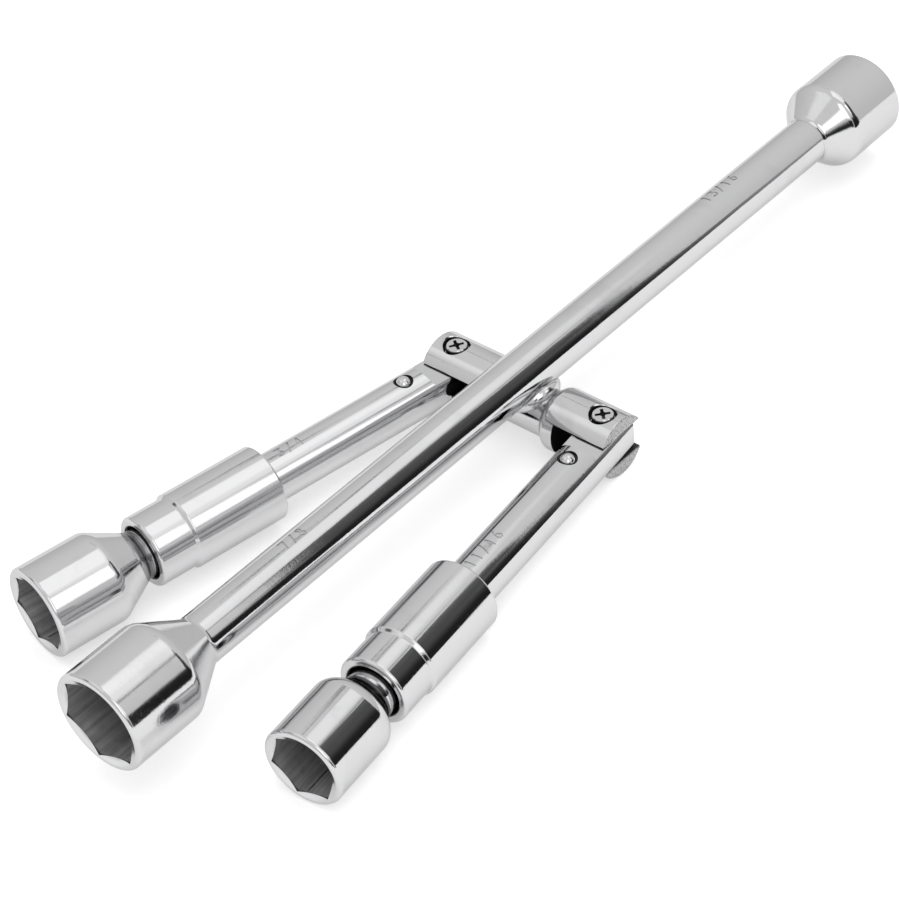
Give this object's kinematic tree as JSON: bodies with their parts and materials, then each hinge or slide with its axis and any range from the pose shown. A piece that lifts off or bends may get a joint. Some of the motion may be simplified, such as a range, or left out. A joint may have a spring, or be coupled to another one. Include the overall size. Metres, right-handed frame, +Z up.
{
  "type": "folding four-way lug wrench",
  "caption": "Chromed cross lug wrench whose two cross arms fold flat beside the main bar, with a hex socket on each end and sliding sleeves that lock the arms straight.",
  "frame": {"origin": "on the main bar's axis, over the middle of the crossbar", "axes": "+X along the main bar towards the 13/16 in. socket, +Y along the crossbar towards the 3/4 in. arm, +Z up, square to the plane in which the arms fold"},
  "size_m": [0.3355, 0.1212, 0.0407],
  "materials": {
    "bar_chrome": "polished chrome plate on round steel bar",
    "socket_chrome": "polished chrome plate, satin inside the hex",
    "sleeve_chrome": "polished chrome plate",
    "clevis_chrome": "chrome plate, grainy on the sawn ear ends",
    "weld_chrome": "chrome plate over a rippled weld",
    "screw_plated": "bright nickel plate",
    "ball_steel": "hard polished bearing steel",
    "spring_steel": "drawn spring wire"
  },
  "bodies": {
    "frame": {"main_bar": "bar_chrome", "main_socket_near": "socket_chrome", "main_socket_far": "socket_chrome", "crossbar": "bar_chrome", "weld_bead_left": "weld_chrome", "clevis_left": "clevis_chrome", "pivot_screw_left": "screw_plated", "pivot_nut_left": "screw_plated", "weld_bead_right": "weld_chrome", "clevis_right": "clevis_chrome", "pivot_screw_right": "screw_plated", "pivot_nut_right": "screw_plated"},
    "left_arm": {"arm_bar_left": "bar_chrome", "arm_socket_left": "socket_chrome", "detent_spring_left": "spring_steel"},
    "left_sleeve": {"lock_sleeve_left": "sleeve_chrome"},
    "left_ball": {"detent_ball_left": "ball_steel"},
    "right_arm": {"arm_bar_right": "bar_chrome", "arm_socket_right": "socket_chrome", "detent_spring_right": "spring_steel"},
    "right_sleeve": {"lock_sleeve_right": "sleeve_chrome"},
    "right_ball": {"detent_ball_right": "ball_steel"}
  },
  "joints": [
    {"name": "left_arm_fold", "type": "hinge", "parent": "frame", "child": "left_arm", "pos_m": [0, 0.0267, -0.0124], "axis": [0, 0, -1], "range_deg": [-10.4, 169.6]},
    {"name": "left_sleeve_slide", "type": "slide", "parent": "left_arm", "child": "left_sleeve", "axis": [0.9836, -0.1805, 0], "range_m": [0, 0.059]},
    {"name": "left_ball_press", "type": "slide", "parent": "left_arm", "child": "left_ball", "axis": [0, 0, -1], "range_m": [0, 0.001], "stiffness_N_per_m": 1200, "springref_m": -0.0008, "deforming": ["detent_spring_left"]},
    {"name": "right_arm_fold", "type": "hinge", "parent": "frame", "child": "right_arm", "pos_m": [0, -0.0267, -0.0124], "axis": [0, 0, 1], "range_deg": [-6.57, 173.43]},
    {"name": "right_sleeve_slide", "type": "slide", "parent": "right_arm", "child": "right_sleeve", "axis": [0.9934, 0.1144, 0], "range_m": [0, 0.06]},
    {"name": "right_ball_press", "type": "slide", "parent": "right_arm", "child": "right_ball", "axis": [0, 0, -1], "range_m": [0, 0.001], "stiffness_N_per_m": 1200, "springref_m": -0.0008, "deforming": ["detent_spring_right"]}
  ]
}
